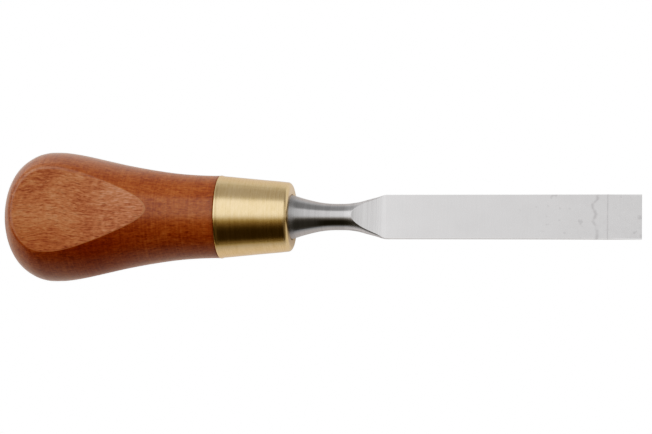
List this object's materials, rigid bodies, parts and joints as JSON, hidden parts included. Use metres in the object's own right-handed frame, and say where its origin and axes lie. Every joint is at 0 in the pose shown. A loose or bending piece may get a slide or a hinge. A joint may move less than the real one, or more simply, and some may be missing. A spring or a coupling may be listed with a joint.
{
  "type": "palm chisel",
  "caption": "Short palm chisel: pear-shaped turned wooden handle with flats, tapered brass ferrule, waisted round neck and long straight flat square-ended blade.",
  "frame": {"origin": "centre of the bounding box, on the tool axis, 6.1 mm ahead of the ferrule's front face", "axes": "+X along the tool axis from the butt towards the cutting edge, +Z normal to the handle's upper flat and to the blade's upper face, +Y across the blade"},
  "size_m": [0.1476, 0.0302, 0.0222],
  "materials": {
    "handle_wood": "reddish-brown hardwood, thin satin lacquer on the turned body, finely sanded and matte on the flats",
    "ferrule_brass": "turned brass with fine circumferential lines",
    "blade_steel": "bright steel: polished round neck, fine crosswise grinding lines on the flat"
  },
  "bodies": {
    "root": {"handle": "handle_wood", "ferrule": "ferrule_brass", "blade": "blade_steel"}
  },
  "joints": []
}
